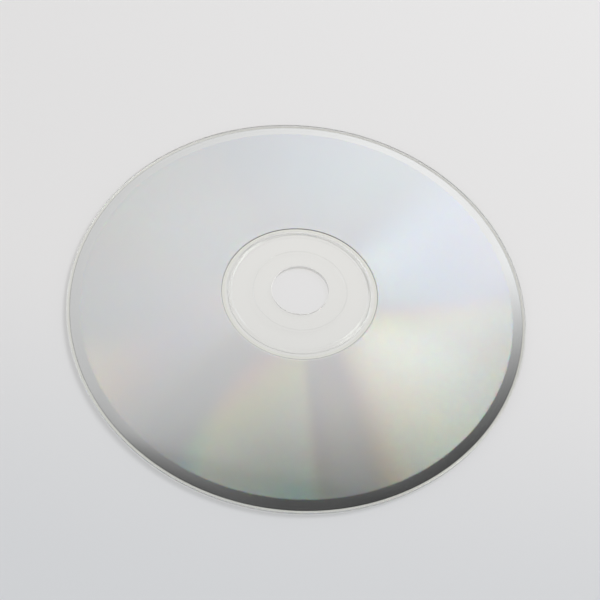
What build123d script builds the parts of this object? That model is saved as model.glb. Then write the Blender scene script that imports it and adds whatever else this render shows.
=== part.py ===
from build123d import *
import os

# A pressed optical disc, lying label side down with its read side up.
# The frame's origin is the centre of the face that it lies on, and +Z runs up the disc's own axis.
# All sizes are in millimetres. Places across the disc are diameters, as they are measured on the real thing.

# Clear moulded plate
disc_diameter = 120.0
plate_thickness = 1.2
read_rim_radius = 0.2
label_rim_chamfer = 0.12

# Centre hole, and the slightly lower area round it on the read side
hole_diameter = 15.0
hole_edge_chamfer = 0.1
guide_area_diameter = 25.0
guide_area_depth = 0.05
guide_step_width = 0.12

# Stacking ring, which stands up from the read side and keeps piled discs apart
stacking_ring_diameter = 37.1
stacking_ring_width = 1.3
stacking_ring_height = 0.2
stacking_ring_flank = 0.3
stacking_ring_crest_radius = 0.15

# Groove that the mould's stamper holder leaves in the label side
holder_groove_diameter = 37.7
holder_groove_width = 0.6
holder_groove_depth = 0.15
holder_groove_flank = 0.15

# Mirror layer on the label side of the plate, which stops short of the rim
metal_inner_diameter = 41.08
metal_thickness = 0.01
clear_rim_width = 0.72

# Clear lacquer that covers the mirror layer and seals both of its edges
lacquer_thickness = 0.02
lacquer_inner_seal_width = 0.75
lacquer_outer_seal_width = 0.4

# Heights that the pieces share, from the resting face up
resting_face = 0.0
metal_low = resting_face + lacquer_thickness
label_face = metal_low + metal_thickness
read_face = label_face + plate_thickness
guide_face = read_face - guide_area_depth
ring_crest = read_face + stacking_ring_height
groove_floor = label_face + holder_groove_depth

# Distances from the axis that the pieces share
disc_radius = disc_diameter / 2
hole_radius = hole_diameter / 2
guide_radius = guide_area_diameter / 2
metal_inner_radius = metal_inner_diameter / 2
metal_outer_radius = disc_radius - clear_rim_width
lacquer_inner_radius = metal_inner_radius - lacquer_inner_seal_width
lacquer_outer_radius = metal_outer_radius + lacquer_outer_seal_width
sharp = 0.0


def turned(corners):
    """Solid turned about Z from a closed half section of (distance from the axis, height, corner radius)."""
    points = [(distance, height) for distance, height, _ in corners]
    radii = [radius for _, _, radius in corners]
    with BuildPart() as solid:
        with BuildSketch(Plane.XZ):
            with BuildLine():
                FilletPolyline(*points, radius=radii, close=True)
            make_face()
        revolve(axis=Axis.Z)
    return solid.part


def ridge(middle_diameter, width, flank, base, crest, crest_radius):
    """Corners of a ring's section, from its inner foot over the crest to its outer foot."""
    inner_foot = middle_diameter / 2 - width / 2
    outer_foot = inner_foot + width
    return [
        (inner_foot, base, sharp),
        (inner_foot + flank, crest, crest_radius),
        (outer_foot - flank, crest, crest_radius),
        (outer_foot, base, sharp),
    ]


def clear_disc():
    """The moulded plate, from the foot of the hole over the label side, the rim and the read side."""
    holder_groove = ridge(
        holder_groove_diameter,
        holder_groove_width,
        holder_groove_flank,
        label_face,
        groove_floor,
        sharp,
    )
    stacking_ring = ridge(
        stacking_ring_diameter,
        stacking_ring_width,
        stacking_ring_flank,
        read_face,
        ring_crest,
        stacking_ring_crest_radius,
    )
    return turned(
        [
            (hole_radius, label_face + hole_edge_chamfer, sharp),
            (hole_radius + hole_edge_chamfer, label_face, sharp),
            *holder_groove,
            (disc_radius - label_rim_chamfer, label_face, sharp),
            (disc_radius, label_face + label_rim_chamfer, sharp),
            (disc_radius, read_face, read_rim_radius),
            *reversed(stacking_ring),
            (guide_radius, read_face, sharp),
            (guide_radius - guide_step_width, guide_face, sharp),
            (hole_radius + hole_edge_chamfer, guide_face, sharp),
            (hole_radius, guide_face - hole_edge_chamfer, sharp),
        ]
    )


def reflective_layer():
    """The metal film, flat against the plate's label side."""
    return turned(
        [
            (metal_inner_radius, metal_low, sharp),
            (metal_outer_radius, metal_low, sharp),
            (metal_outer_radius, label_face, sharp),
            (metal_inner_radius, label_face, sharp),
        ]
    )


def lacquer_coat():
    """The lacquer: a shallow tray that holds the metal and meets the plate inside and outside it."""
    return turned(
        [
            (lacquer_inner_radius, resting_face, sharp),
            (lacquer_outer_radius, resting_face, sharp),
            (lacquer_outer_radius, label_face, sharp),
            (metal_outer_radius, label_face, sharp),
            (metal_outer_radius, metal_low, sharp),
            (metal_inner_radius, metal_low, sharp),
            (metal_inner_radius, label_face, sharp),
            (lacquer_inner_radius, label_face, sharp),
        ]
    )


os.makedirs("parts", exist_ok=True)
export_step(clear_disc(), "parts/clear_disc.step")
export_step(reflective_layer(), "parts/reflective_layer.step")
export_step(lacquer_coat(), "parts/lacquer_coat.step")
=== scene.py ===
import bpy
import bmesh
import math
from mathutils import Matrix, Vector


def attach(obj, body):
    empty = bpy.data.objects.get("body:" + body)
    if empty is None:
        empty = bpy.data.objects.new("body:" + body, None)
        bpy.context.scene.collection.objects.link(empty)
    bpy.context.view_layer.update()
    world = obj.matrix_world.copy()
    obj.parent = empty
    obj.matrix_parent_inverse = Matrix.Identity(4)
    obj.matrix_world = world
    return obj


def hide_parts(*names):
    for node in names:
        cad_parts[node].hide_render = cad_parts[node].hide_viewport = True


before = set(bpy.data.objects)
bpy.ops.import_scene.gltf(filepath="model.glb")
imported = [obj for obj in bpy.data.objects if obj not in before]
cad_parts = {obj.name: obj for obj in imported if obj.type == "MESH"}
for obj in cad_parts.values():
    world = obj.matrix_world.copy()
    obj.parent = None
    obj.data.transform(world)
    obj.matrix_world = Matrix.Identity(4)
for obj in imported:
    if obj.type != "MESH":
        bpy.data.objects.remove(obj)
bpy.ops.object.select_all(action="DESELECT")
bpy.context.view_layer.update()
print("frame loaded:", ", ".join(sorted(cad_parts)))

mm = 0.001
turnSteps = 300  # around the disc
smoothAngle = math.radians(28)
sameSpot = 1e-6  # in metres
mergeWithin = 1e-7
plasticIndex = 1.585  # how strongly polycarbonate bends light


def startSection(name, inner, outer, low, high):
    # each layer starts as an upright rectangle in XZ, from an inner to an outer distance, and is turned about Z later
    bpy.ops.object.select_all(action="DESELECT")
    middle = ((inner + outer) / 2 * mm, 0, (low + high) / 2 * mm)
    bpy.ops.mesh.primitive_plane_add(size=1, location=middle, rotation=(math.pi / 2, 0, 0))
    piece = bpy.context.object
    piece.name = piece.data.name = name
    piece.scale = ((outer - inner) * mm, (high - low) * mm, 1)
    bpy.ops.object.transform_apply(location=True, rotation=True, scale=True)
    bpy.ops.object.mode_set(mode="EDIT")
    return piece


def pick(piece, spots):
    # selects the corners at these (distance, height) places and nothing else
    bpy.ops.mesh.select_mode(type="VERT")
    bpy.ops.mesh.select_all(action="DESELECT")
    mesh = bmesh.from_edit_mesh(piece.data)
    for corner in mesh.verts:
        for distance, height in spots:
            if abs(corner.co.x - distance * mm) < sameSpot and abs(corner.co.z - height * mm) < sameSpot:
                corner.select = True
    mesh.select_flush(True)
    found = sum(corner.select for corner in mesh.verts)
    bmesh.update_edit_mesh(piece.data)
    if found != len(spots):
        print("  corners asked", len(spots), "found", found, spots)


def oneFace():
    # the pieces of the section become one face again, and the corners on its outline stay
    bpy.ops.mesh.select_mode(type="FACE")
    bpy.ops.mesh.select_all(action="SELECT")
    bpy.ops.mesh.dissolve_faces()


def spotOf(corner):
    return round(corner.co.x / mm, 4), round(corner.co.z / mm, 4)


def cutUpright(piece, distances, keep):
    # new corners at these distances on one side of the section, "top" or "bottom" as keep says
    mesh = bmesh.from_edit_mesh(piece.data)
    middle = sum(corner.co.z for corner in mesh.verts) / len(mesh.verts)
    before = {spotOf(corner) for corner in mesh.verts}
    for distance in distances:
        bpy.ops.mesh.select_all(action="SELECT")
        bpy.ops.mesh.bisect(plane_co=(distance * mm, 0, 0), plane_no=(1, 0, 0), threshold=mergeWithin)
    oneFace()
    mesh = bmesh.from_edit_mesh(piece.data)
    spare = []
    for corner in mesh.verts:
        onTop = corner.co.z > middle
        if spotOf(corner) not in before and onTop != (keep == "top"):
            spare.append(spotOf(corner))
    if spare:
        pick(piece, spare)
        bpy.ops.mesh.dissolve_verts()


def lift(piece, spots, height):
    pick(piece, spots)
    bpy.ops.transform.translate(value=(0, 0, height * mm))


def roundOff(piece, spots, size, segments):
    pick(piece, spots)
    bpy.ops.mesh.bevel(offset=size * mm, segments=segments, profile=0.5, affect="VERTICES")


def turn(piece):
    # the outline alone is spun about the axis, so that nothing is left inside
    bpy.ops.mesh.select_mode(type="FACE")
    bpy.ops.mesh.select_all(action="SELECT")
    bpy.ops.mesh.delete(type="ONLY_FACE")
    bpy.ops.mesh.select_mode(type="VERT")
    bpy.ops.mesh.select_all(action="SELECT")
    bpy.ops.mesh.spin(steps=turnSteps, angle=2 * math.pi, center=(0, 0, 0), axis=(0, 0, 1))
    bpy.ops.mesh.select_all(action="SELECT")
    bpy.ops.mesh.remove_doubles(threshold=mergeWithin)
    bpy.ops.mesh.normals_make_consistent(inside=False)
    bpy.ops.object.mode_set(mode="OBJECT")
    bpy.ops.object.shade_smooth_by_angle(angle=smoothAngle)
    bpy.ops.object.select_all(action="DESELECT")
    print(" ", piece.name, "faces:", len(piece.data.polygons))


# the moulded plate; places are distances from the axis and heights in millimetres, a rounding is its size and steps
clearPlate = {
    "holeRadius": 7.5,
    "discRadius": 60.0,
    "labelFace": 0.03,
    "readFace": 1.23,
    "guideRadius": 12.5,
    "guideStep": 0.12,
    "guideDepth": 0.05,
    "grooveFeet": (18.55, 19.15),
    "grooveFloor": (18.70, 19.00),
    "grooveDepth": 0.15,
    "ringFeet": (17.90, 19.20),
    "ringCrest": (18.20, 18.90),
    "ringHeight": 0.2,
    "holeRound": (0.1, 4),
    "rimTopRound": (0.2, 8),
    "rimBottomRound": (0.12, 5),
    "ringCrestRound": (0.15, 6),
    "ringFootRound": (0.05, 3),
    "grooveRound": (0.04, 2),
    "stepRound": (0.04, 2),
    # narrow strips beside the edges keep the flats flat when they are shaded smooth; hole and rim have one on top and
    # one at the bottom
    "holeStrips": (7.95, 7.72),
    "stepStrips": (12.22, 12.62),
    "ringStrips": (17.72, 19.36),
    "grooveStrips": (18.45, 19.25),
    "rimStrips": (59.7, 59.78),
}


def buildClearPlate(p):
    low, high = p["labelFace"], p["readFace"]
    guide = high - p["guideDepth"]
    guideFoot = p["guideRadius"] - p["guideStep"]
    piece = startSection("clearPlate", p["holeRadius"], p["discRadius"], low, high)
    # label side: the groove of the stamper holder
    cutUpright(piece, [*p["grooveFeet"], *p["grooveFloor"]], "bottom")
    lift(piece, [(r, low) for r in p["grooveFloor"]], p["grooveDepth"])
    # read side: the lower area round the hole, then the stacking ring
    cutUpright(piece, [guideFoot, p["guideRadius"], *p["ringFeet"], *p["ringCrest"]], "top")
    lift(piece, [(p["holeRadius"], high), (guideFoot, high)], -p["guideDepth"])
    lift(piece, [(r, high) for r in p["ringCrest"]], p["ringHeight"])
    # rounded edges
    roundOff(piece, [(p["holeRadius"], guide), (p["holeRadius"], low)], *p["holeRound"])
    roundOff(piece, [(p["discRadius"], high)], *p["rimTopRound"])
    roundOff(piece, [(p["discRadius"], low)], *p["rimBottomRound"])
    crest = high + p["ringHeight"]
    roundOff(piece, [(r, crest) for r in p["ringCrest"]], *p["ringCrestRound"])
    roundOff(piece, [(r, high) for r in p["ringFeet"]], *p["ringFootRound"])
    roundOff(piece, [(r, low + p["grooveDepth"]) for r in p["grooveFloor"]], *p["grooveRound"])
    roundOff(piece, [(guideFoot, guide), (p["guideRadius"], high)], *p["stepRound"])
    holeTop, holeBottom = p["holeStrips"]
    rimTop, rimBottom = p["rimStrips"]
    cutUpright(piece, [holeTop, *p["stepStrips"], *p["ringStrips"], rimTop], "top")
    cutUpright(piece, [holeBottom, *p["grooveStrips"], rimBottom], "bottom")
    turn(piece)
    return piece


# the mirror film stands a hair proud of its own place, so that no two faces share one
mirrorFilm = {
    "inner": 20.54,
    "outer": 59.28,
    "low": 0.016,
    "high": 0.034,
    "edgeRound": (0.006, 2),
    "strip": 0.05,
}

lacquerCoat = {
    "inner": 19.79,
    "outer": 59.68,
    "low": 0.0,
    "high": 0.028,
    "trayInner": 20.55,
    "trayOuter": 59.27,
    "trayFloor": 0.02,
    "trayWall": 0.004,
    "edgeRound": (0.008, 2),
    "strip": 0.05,
}


def buildMirrorFilm(p):
    piece = startSection("mirrorFilm", p["inner"], p["outer"], p["low"], p["high"])
    corners = [(r, z) for r in (p["inner"], p["outer"]) for z in (p["low"], p["high"])]
    roundOff(piece, corners, *p["edgeRound"])
    cutUpright(piece, [p["inner"] + p["strip"], p["outer"] - p["strip"]], "top")
    turn(piece)
    return piece


def buildLacquerCoat(p):
    piece = startSection("lacquerCoat", p["inner"], p["outer"], p["low"], p["high"])
    # the film lies in a shallow tray
    floor = (p["trayInner"] + p["trayWall"], p["trayOuter"] - p["trayWall"])
    cutUpright(piece, [p["trayInner"], *floor, p["trayOuter"]], "top")
    lift(piece, [(r, p["high"]) for r in floor], p["trayFloor"] - p["high"])
    roundOff(piece, [(p["inner"], p["high"]), (p["outer"], p["high"])], *p["edgeRound"])
    cutUpright(piece, [p["inner"] + p["strip"], p["outer"] - p["strip"]], "top")
    turn(piece)
    return piece


print("building the layers")
plate = buildClearPlate(clearPlate)
film = buildMirrorFilm(mirrorFilm)
lacquer = buildLacquerCoat(lacquerCoat)


def newMaterial(name):
    material = bpy.data.materials.new(name)
    material.use_nodes = True
    material.node_tree.nodes.clear()
    return material, material.node_tree


def node(tree, kind, **settings):
    made = tree.nodes.new(kind)
    for key, value in settings.items():
        setattr(made, key, value)
    return made


def feed(tree, socket, value):
    # another node's output is linked to the socket, and a plain value is written on it
    if isinstance(value, bpy.types.NodeSocket):
        tree.links.new(value, socket)
    else:
        socket.default_value = value


def maths(tree, operation, *values):
    made = node(tree, "ShaderNodeMath", operation=operation)
    for socket, value in zip(made.inputs, values):
        feed(tree, socket, value)
    return made.outputs[0]


def vectorMaths(tree, operation, *values, scale=None):
    # scale is the single number that SCALE takes
    made = node(tree, "ShaderNodeVectorMath", operation=operation)
    for socket, value in zip(made.inputs, values):
        feed(tree, socket, value)
    if scale is not None:
        feed(tree, made.inputs["Scale"], scale)
    return made.outputs["Value" if operation == "LENGTH" else "Vector"]


def splitParts(tree, vector):
    made = node(tree, "ShaderNodeSeparateXYZ")
    tree.links.new(vector, made.inputs[0])
    return made.outputs


def smoothRange(tree, value, low, high, atLow=0.0, atHigh=1.0):
    made = node(tree, "ShaderNodeMapRange", interpolation_type="SMOOTHSTEP", clamp=True)
    tree.links.new(value, made.inputs["Value"])
    made.inputs["From Min"].default_value = low
    made.inputs["From Max"].default_value = high
    made.inputs["To Min"].default_value = atLow
    made.inputs["To Max"].default_value = atHigh
    return made.outputs["Result"]


def mixColour(tree, factor, first, second):
    made = node(tree, "ShaderNodeMix", data_type="RGBA")
    tree.links.new(factor, made.inputs[0])
    # the colours' own sockets come after those for numbers and vectors
    for socket, value in ((made.inputs[6], first), (made.inputs[7], second)):
        feed(tree, socket, value if isinstance(value, bpy.types.NodeSocket) else (*value, 1))
    return made.outputs[2]


driftRange = (0.3, 0.7)  # what the noise nearly always stays within


def addNoise(tree, coordinates, scale):
    made = node(tree, "ShaderNodeTexNoise")
    tree.links.new(coordinates, made.inputs["Vector"])
    made.inputs["Scale"].default_value = scale
    made.inputs["Detail"].default_value = 2.0
    return made.outputs["Fac"]


def mixShaders(tree, factor, first, second):
    made = node(tree, "ShaderNodeMixShader")
    for socket, output in zip(made.inputs, (factor, first, second)):
        tree.links.new(output, socket)
    return made.outputs[0]


def addShaders(tree, shaders):
    # adds them two by two until one is left
    while len(shaders) > 1:
        pairs = []
        for i in range(0, len(shaders) - 1, 2):
            added = node(tree, "ShaderNodeAddShader")
            tree.links.new(shaders[i], added.inputs[0])
            tree.links.new(shaders[i + 1], added.inputs[1])
            pairs.append(added.outputs[0])
        if len(shaders) % 2:
            pairs.append(shaders[-1])
        shaders = pairs
    return shaders[0]


def finishMaterial(tree, shader):
    output = node(tree, "ShaderNodeOutputMaterial")
    tree.links.new(shader, output.inputs["Surface"])


# in each finish the tints and the roughness drift between two values, and drift says how fine that is
clearFinish = {
    "drift": 25,
    "tints": ((1.0, 1.0, 0.990), (0.994, 0.995, 0.982)),
    "roughness": (0.0, 0.02),
    "ior": plasticIndex,
    "clear": 1.0,
    "letsThrough": (1.0, 1.0, 0.990),
}

# the walls of the hole and the rim are matt, and they dim what goes through them
rimFinish = {
    "drift": 90,
    "tints": ((0.885, 0.890, 0.885), (0.855, 0.860, 0.855)),
    "roughness": (0.45, 0.60),
    "ior": plasticIndex,
    "clear": 0.35,
    "letsThrough": (0.62, 0.62, 0.615),
}

holeFinish = {
    "drift": 90,
    "tints": ((1.0, 0.995, 0.980), (0.98, 0.975, 0.960)),
    "roughness": (0.35, 0.50),
    "ior": plasticIndex,
    "clear": 0.20,
    "letsThrough": (0.94, 0.94, 0.93),
}

# the groove's flanks are matt and dim what goes through them, and are also painted greyer, a painted shade line along
# the groove
grooveFinishAndShade = {
    "drift": 90,
    "tints": ((0.930, 0.930, 0.920), (0.905, 0.905, 0.895)),
    "roughness": (0.35, 0.50),
    "ior": plasticIndex,
    "clear": 0.45,
    "letsThrough": (0.82, 0.82, 0.81),
}

# the stacking ring and the guide step aren't as polished as the flats, and the step dims the light a little more; the
# step's band is also painted greyer, a painted shade ring round the hole
ringFinish = {
    "drift": 90,
    "tints": ((1.0, 1.0, 0.990), (0.990, 0.990, 0.975)),
    "roughness": (0.14, 0.22),
    "ior": plasticIndex,
    "clear": 1.0,
    "letsThrough": (0.965, 0.965, 0.955),
}

stepFinishAndShade = {
    "drift": 90,
    "tints": ((0.930, 0.930, 0.920), (0.915, 0.915, 0.905)),
    "roughness": (0.14, 0.22),
    "ior": plasticIndex,
    "clear": 1.0,
    "letsThrough": (0.900, 0.900, 0.890),
}

lacquerFinish = {
    "drift": 40,
    "tints": ((0.995, 0.998, 0.980), (0.985, 0.990, 0.965)),
    "roughness": (0.01, 0.04),
    "ior": 1.5,
    "clear": 1.0,
    "letsThrough": (0.985, 0.985, 0.970),
}


def clearMaterial(name, finish):
    # glass-like, with a faint drift in its tint; light for matt things behind it goes straight through
    material, tree = newMaterial(name)
    place = node(tree, "ShaderNodeTexCoord").outputs["Object"]
    drift = addNoise(tree, place, finish["drift"])
    glass = node(tree, "ShaderNodeBsdfPrincipled")
    tree.links.new(mixColour(tree, drift, *finish["tints"]), glass.inputs["Base Color"])
    tree.links.new(smoothRange(tree, drift, *driftRange, *finish["roughness"]), glass.inputs["Roughness"])
    glass.inputs["IOR"].default_value = finish["ior"]
    glass.inputs["Transmission Weight"].default_value = finish["clear"]
    through = node(tree, "ShaderNodeBsdfTransparent")
    through.inputs["Color"].default_value = (*finish["letsThrough"], 1)
    ray = node(tree, "ShaderNodeLightPath")
    shader = mixShaders(tree, ray.outputs["Is Diffuse Ray"], glass.outputs[0], through.outputs[0])
    shader = mixShaders(tree, ray.outputs["Is Shadow Ray"], shader, through.outputs[0])
    finishMaterial(tree, shader)
    return material


# The film's track is a spiral with a pitch of 1.6 thousandths of a millimetre. Each colour of light also leaves it
# as if the mirror were tilted to or from the axis by an angle that grows with the wavelength.
trackFinish = {
    "drift": 60,
    "pitch": 1.6,
    # the mean cosine of the line of sight's angle inside the plate, from where the photograph was taken
    "steepness": 0.94,
    "inner": mirrorFilm["inner"],
    "outer": mirrorFilm["outer"],
    "dataInner": 22.65,
    "dataOuter": 56.70,
    # how much of the track's look the band between the lip and the recorded area has
    "innerTrack": 0.8,
    "edgeSoftness": 0.12,
    "plainTints": ((0.922, 0.929, 0.935), (0.907, 0.914, 0.925)),
    "dataTints": ((0.963, 0.971, 1.000), (0.950, 0.959, 0.992)),
    "roughness": (0.02, 0.05),
    "lip": (0.05, 0.45),
    "lipLean": -0.115,
    # painted shade at the film's edges: how dark the metal is painted there, and how far in from each edge it reaches
    "edgeShadeTones": (0.35, 0.65),
    "edgeShadeReach": (0.02, 0.24),
    "share": 0.25,
    "stretch": -0.5,
    "lobeRoughness": 0.058,
    # wavelength, and how much of each order it gives to red, green and blue
    "waves": (
        (0.431, (0.036, 0.000, 0.397)),
        (0.459, (0.000, 0.000, 0.463)),
        (0.490, (0.000, 0.105, 0.140)),
        (0.518, (0.000, 0.253, 0.000)),
        (0.542, (0.000, 0.322, 0.000)),
        (0.571, (0.179, 0.265, 0.000)),
        (0.597, (0.334, 0.054, 0.000)),
        (0.632, (0.451, 0.000, 0.000)),
    ),
    "orders": ((1, 0.256), (2, 0.040)),
    "haze": 0.15,
}


def filmMaterial(finish):
    material, tree = newMaterial("mirror film")
    place = node(tree, "ShaderNodeTexCoord").outputs["Object"]
    parts = splitParts(tree, place)
    flat = node(tree, "ShaderNodeCombineXYZ")
    tree.links.new(parts["X"], flat.inputs["X"])
    tree.links.new(parts["Y"], flat.inputs["Y"])
    outward = vectorMaths(tree, "NORMALIZE", flat.outputs[0])
    distance = vectorMaths(tree, "LENGTH", flat.outputs[0])

    def band(low, high, atLow, atHigh):
        return smoothRange(tree, distance, low * mm, high * mm, atLow, atHigh)

    soft = finish["edgeSoftness"]
    inside = band(finish["dataInner"] - soft, finish["dataInner"] + soft, finish["innerTrack"], 1)
    beyond = band(finish["dataOuter"] - soft, finish["dataOuter"] + soft, 1, 0)
    lip = band(*(finish["inner"] + reach for reach in finish["lip"]), 1, 0)
    offLip = maths(tree, "SUBTRACT", 1.0, lip)
    track = maths(tree, "MULTIPLY", maths(tree, "MULTIPLY", inside, beyond), offLip)
    # painted shade: the metal is painted darker near its inner and outer edges, a dark line at each edge
    near, far = finish["edgeShadeReach"]
    innerShadeTone, outerShadeTone = finish["edgeShadeTones"]
    innerEdgeShade = band(finish["inner"] + near, finish["inner"] + far, innerShadeTone, 1)
    outerEdgeShade = band(finish["outer"] - far, finish["outer"] - near, 1, outerShadeTone)
    edgeShade = maths(tree, "MULTIPLY", innerEdgeShade, outerEdgeShade)
    drift = addNoise(tree, place, finish["drift"])
    plain = mixColour(tree, drift, *finish["plainTints"])
    data = mixColour(tree, drift, *finish["dataTints"])
    edgeShaded = vectorMaths(tree, "SCALE", mixColour(tree, track, plain, data), scale=edgeShade)
    # the lip at the inner edge leans towards the axis
    leaning = vectorMaths(tree, "SCALE", outward, scale=maths(tree, "MULTIPLY", lip, finish["lipLean"]))
    upward = vectorMaths(tree, "NORMALIZE", vectorMaths(tree, "ADD", leaning, (0, 0, 1)))
    mirror = node(tree, "ShaderNodeBsdfPrincipled")
    mirror.inputs["Metallic"].default_value = 1.0
    tree.links.new(edgeShaded, mirror.inputs["Base Color"])
    tree.links.new(smoothRange(tree, drift, *driftRange, *finish["roughness"]), mirror.inputs["Roughness"])
    tree.links.new(upward, mirror.inputs["Normal"])
    # one glossy shader for each colour, order and side
    lobes = []
    for order, strength in finish["orders"]:
        for wave, colour in finish["waves"]:
            for side in (1, -1):
                # the mirror's tilt is half of the turn that the order gives to the light inside the plate
                lean = side * order * wave / finish["pitch"] / plasticIndex / 2 / finish["steepness"]
                upright = (0, 0, math.sqrt(1 - lean * lean))
                tilted = vectorMaths(tree, "MULTIPLY_ADD", outward, (lean, lean, lean), upright)
                glossy = node(tree, "ShaderNodeBsdfGlossy")
                glossy.inputs["Color"].default_value = (*(strength * c for c in colour), 1)
                glossy.inputs["Roughness"].default_value = finish["lobeRoughness"] * math.sqrt(order)
                glossy.inputs["Anisotropy"].default_value = finish["stretch"]
                tree.links.new(outward, glossy.inputs["Tangent"])
                tree.links.new(tilted, glossy.inputs["Normal"])
                lobes.append(glossy.outputs[0])
    haze = node(tree, "ShaderNodeBsdfDiffuse")
    haze.inputs["Color"].default_value = (finish["haze"], finish["haze"], finish["haze"], 1)
    lobes.append(haze.outputs[0])
    share = maths(tree, "MULTIPLY", track, finish["share"])
    finishMaterial(tree, mixShaders(tree, share, mirror.outputs[0], addShaders(tree, lobes)))
    return material


print("mixing the materials")
for piece, material, cadNode, slotName in (
    (plate, clearMaterial("clear plastic", clearFinish), "clear_disc", "clear_plastic"),
    (film, filmMaterial(trackFinish), "reflective_layer", "mirror_metal"),
    (lacquer, clearMaterial("clear lacquer", lacquerFinish), "lacquer_coat", "clear_lacquer"),
):
    piece.data.materials.clear()
    piece.data.materials.append(material)
    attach(piece, "root")
    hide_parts(cadNode)

# the plate's second to sixth finishes, and which faces at its edges have them
edgeFinishes = {
    "finishes": (
        ("moulded rim", rimFinish),
        ("moulded hole", holeFinish),
        ("moulded groove", grooveFinishAndShade),
        ("moulded ring", ringFinish),
        ("moulded step", stepFinishAndShade),
    ),
    "topFrom": 1.0,
    "upright": 0.5,
    "sloping": 0.85,
    "rimFrom": clearPlate["discRadius"] - 0.03,
    "holeWallTo": clearPlate["holeRadius"] + 0.04,
    "holeRingTo": 7.7,
    "groove": (18.5, 19.2),
    "ring": clearPlate["ringStrips"],
    "step": clearPlate["stepStrips"],
}


def finishNumber(face, p):
    distance = math.hypot(face.center.x, face.center.y) / mm
    onTop = face.center.z > p["topFrom"] * mm
    upright = abs(face.normal.z) < p["upright"]
    sloping = abs(face.normal.z) < p["sloping"]

    def within(band):
        return band[0] < distance < band[1]

    if onTop and within(p["step"]):
        return 5
    if onTop and within(p["ring"]):
        return 4
    if sloping and not onTop and within(p["groove"]):
        return 3
    if upright and distance < p["holeWallTo"] or onTop and distance < p["holeRingTo"]:
        return 2
    if upright and distance > p["rimFrom"]:
        return 1
    return 0


for name, finish in edgeFinishes["finishes"]:
    plate.data.materials.append(clearMaterial(name, finish))
for face in plate.data.polygons:
    face.material_index = finishNumber(face, edgeFinishes)


tableTop = {
    "size": 6.0,
    "drop": 0.01,
    # painted light: the table's colour is lighter at the back and darker and bluer at the front, a painted fall-off
    # of the light
    "paintedLightTones": ((0.740, 0.754, 0.774), (0.867, 0.860, 0.860)),
    "paintedLightFrom": (-0.092, 0.010),
    "roughness": 0.9,
    "gloss": 0.1,
}


def buildTable(p):
    bpy.ops.object.select_all(action="DESELECT")
    bpy.ops.mesh.primitive_plane_add(size=p["size"], location=(0, 0, -p["drop"] * mm))
    table = bpy.context.object
    table.name = "tableTop"
    bpy.ops.object.transform_apply(location=True, rotation=True, scale=True)
    material, tree = newMaterial("pale table")
    place = node(tree, "ShaderNodeTexCoord").outputs["Object"]
    # the painted fall-off of the light runs from the front tone to the back tone
    across = smoothRange(tree, splitParts(tree, place)["Y"], *p["paintedLightFrom"])
    surface = node(tree, "ShaderNodeBsdfPrincipled")
    tree.links.new(mixColour(tree, across, *p["paintedLightTones"]), surface.inputs["Base Color"])
    surface.inputs["Roughness"].default_value = p["roughness"]
    surface.inputs["Specular IOR Level"].default_value = p["gloss"]
    finishMaterial(tree, surface.outputs[0])
    table.data.materials.append(material)
    bpy.ops.object.select_all(action="DESELECT")


print("setting the table, the room and the camera")
buildTable(tableTop)

# the room: how bright each direction is, with x and y as the direction's own parts to the right and to the back
room = {
    "level": 1.09,
    "plainLevel": 0.50,
    "walls": (0.397, 0.934),
    "wallsFrom": (-0.682, 0.379),
    "front": 0.214,
    "frontFrom": (-0.099, -0.005),
    # strength, middle, half sizes, turn, softness; a light has a strength for red, green and blue, and a negative
    # strength takes light away
    "shades": (
        (0.440, (0.033, 0.312), (0.291, 0.208), 0.466, 0.150),
        (0.942, (0.344, 0.374), (0.239, 0.162), 0.681, 0.089),
    ),
    "softBoxes": (
        ((0.560, 0.560, 0.560), (0.000, -0.920), (1.200, 0.360), 0.000, 0.110),
        ((1.276, 1.399, 1.006), (-0.062, 0.021), (0.167, 0.110), 0.294, 0.027),
        ((1.483, 1.845, 2.098), (0.372, 0.679), (0.177, 0.085), -1.093, 0.085),
        ((1.682, 1.682, 1.682), (-0.566, 0.170), (0.100, 0.082), -1.163, 0.079),
        ((-0.322, -0.322, -0.322), (-0.041, 0.274), (0.096, 0.145), -1.053, 0.080),
        ((-0.326, -0.326, -0.326), (-0.131, 0.045), (0.247, 0.264), -0.437, 0.031),
        ((1.539, 1.833, 1.815), (0.623, 0.283), (0.253, 0.171), 0.053, 0.098),
    ),
    # the window: its strength, then a point on each side, the way in from there, and the softness
    "window": (1.985, 2.034, 1.820),
    "windowSides": (
        ((0.303, 0.101), 0.273, 0.060),
        ((0.442, 0.493), -0.894, 0.033),
        ((0.684, 0.497), -2.451, 0.096),
        ((0.852, 0.127), -3.248, 0.014),
        ((0.427, -0.078), 1.241, 0.014),
    ),
    # a beam under the ceiling: how much darker it is, a point on its edge, the way in, the softness, and its box
    "beam": (0.250, ((-0.020, 0.362), -1.613, 0.010), ((-0.020, 0.360), (0.300, 0.160), 0.0, 0.100)),
}


def softBox(tree, direction, middle, half, turned, softness):
    # 1 inside a turned rectangle of directions, 0 outside, with a soft edge
    placed = node(tree, "ShaderNodeMapping", vector_type="TEXTURE")
    tree.links.new(direction, placed.inputs["Vector"])
    placed.inputs["Location"].default_value = (*middle, 0)
    placed.inputs["Rotation"].default_value = (0, 0, turned)
    parts = splitParts(tree, placed.outputs[0])
    sides = []
    for axis, reach in zip(("X", "Y"), half):
        away = maths(tree, "ABSOLUTE", parts[axis])
        sides.append(smoothRange(tree, away, reach - softness, reach + softness, 1, 0))
    return maths(tree, "MULTIPLY", *sides)


def windowShape(tree, parts, sides):
    # 1 inside all the sides, each a straight line over the directions with a soft edge
    shape = None
    for (x, y), inward, softness in sides:
        across = maths(tree, "MULTIPLY", parts["Y"], math.sin(inward))
        start = x * math.cos(inward) + y * math.sin(inward)
        reach = maths(tree, "MULTIPLY_ADD", parts["X"], math.cos(inward), across)
        side = smoothRange(tree, reach, start - softness, start + softness)
        shape = side if shape is None else maths(tree, "MULTIPLY", shape, side)
    return shape


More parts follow.
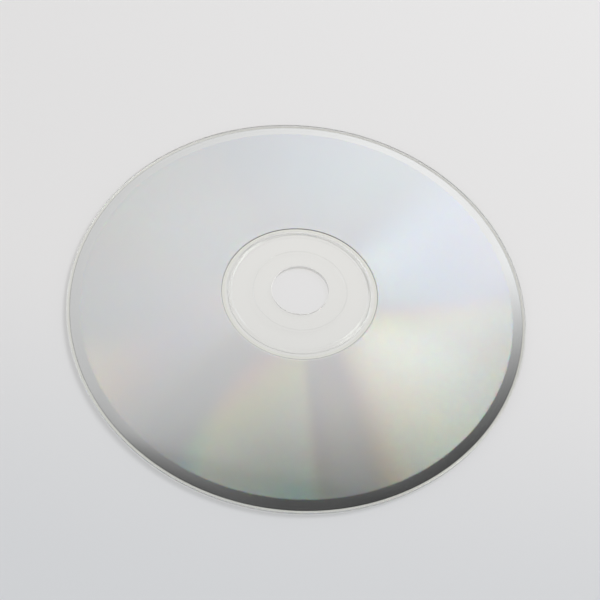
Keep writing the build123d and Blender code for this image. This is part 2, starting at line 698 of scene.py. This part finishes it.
def buildRoom(p):
    world = bpy.data.worlds.new("room")
    bpy.context.scene.world = world
    world.use_nodes = True
    tree = world.node_tree
    tree.nodes.clear()
    direction = node(tree, "ShaderNodeTexCoord").outputs["Generated"]
    parts = splitParts(tree, direction)
    wall = smoothRange(tree, parts["X"], *p["wallsFrom"], *p["walls"])
    fromFront = smoothRange(tree, parts["Y"], *p["frontFrom"])
    wall = maths(tree, "MULTIPLY_ADD", maths(tree, "SUBTRACT", wall, p["front"]), fromFront, p["front"])
    for strength, *box in p["shades"]:
        left = maths(tree, "MULTIPLY_ADD", softBox(tree, direction, *box), -strength, 1.0)
        wall = maths(tree, "MULTIPLY", wall, left)
    light = vectorMaths(tree, "SCALE", (1, 1, 1), scale=wall)
    for strength, *box in p["softBoxes"]:
        light = vectorMaths(tree, "MULTIPLY_ADD", softBox(tree, direction, *box), strength, light)
    light = vectorMaths(tree, "MULTIPLY_ADD", windowShape(tree, parts, p["windowSides"]), p["window"], light)
    light = vectorMaths(tree, "MAXIMUM", light, (0, 0, 0))
    strength, edge, box = p["beam"]
    beam = maths(tree, "MULTIPLY", windowShape(tree, parts, (edge,)), softBox(tree, direction, *box))
    light = vectorMaths(tree, "SCALE", light, scale=maths(tree, "MULTIPLY_ADD", beam, -strength, 1.0))
    seen = node(tree, "ShaderNodeBackground")
    tree.links.new(light, seen.inputs["Color"])
    seen.inputs["Strength"].default_value = p["level"]
    # matt surfaces get the same even light from all sides
    even = node(tree, "ShaderNodeBackground")
    even.inputs["Color"].default_value = (1, 1, 1, 1)
    even.inputs["Strength"].default_value = p["plainLevel"]
    ray = node(tree, "ShaderNodeLightPath")
    shader = mixShaders(tree, ray.outputs["Is Diffuse Ray"], seen.outputs[0], even.outputs[0])
    output = node(tree, "ShaderNodeOutputWorld")
    tree.links.new(shader, output.inputs["Surface"])
    world.cycles.sampling_method = "NONE"


buildRoom(room)

# a lamp about where the window is, for the soft shadow on the table; the mirror doesn't show it
windowLight = {
    "from": (1.10, 1.10, 1.50),
    "size": 0.80,
    "power": 26.0,
}


def buildWindowLight(p):
    data = bpy.data.lights.new("windowLight", "AREA")
    data.shape = "SQUARE"
    data.size = p["size"]
    data.energy = p["power"]
    lamp = bpy.data.objects.new("windowLight", data)
    bpy.context.collection.objects.link(lamp)
    lamp.location = p["from"]
    lamp.rotation_euler = (-Vector(p["from"])).to_track_quat("-Z", "Y").to_euler()
    lamp.visible_camera = lamp.visible_glossy = lamp.visible_transmission = False


buildWindowLight(windowLight)

cameraView = {
    "from": (0.3277, -120.3866, 179.198),
    "lookAt": (0.3277, -2.9045, 0.63),
    "roll": 8.0976,
    "lens": 48.98,
    "sensor": 36.0,
    "clip": (0.001, 50.0),
}


def buildCamera(p):
    data = bpy.data.cameras.new("camera")
    data.lens = p["lens"]
    data.sensor_width = p["sensor"]
    data.clip_start, data.clip_end = p["clip"]
    camera = bpy.data.objects.new("camera", data)
    bpy.context.collection.objects.link(camera)
    place = Vector(p["from"]) * mm
    look = (Vector(p["lookAt"]) * mm - place).to_track_quat("-Z", "Y").to_matrix().to_4x4()
    camera.matrix_world = Matrix.Translation(place) @ look @ Matrix.Rotation(math.radians(p["roll"]), 4, "Z")
    bpy.context.scene.camera = camera


buildCamera(cameraView)
bpy.context.scene.view_settings.view_transform = "Standard"
# light crosses the plate's faces many times
bpy.context.scene.cycles.glossy_bounces = 10
bpy.context.scene.cycles.transmission_bounces = 16
bpy.context.scene.cycles.max_bounces = 20

bpy.context.view_layer.update()
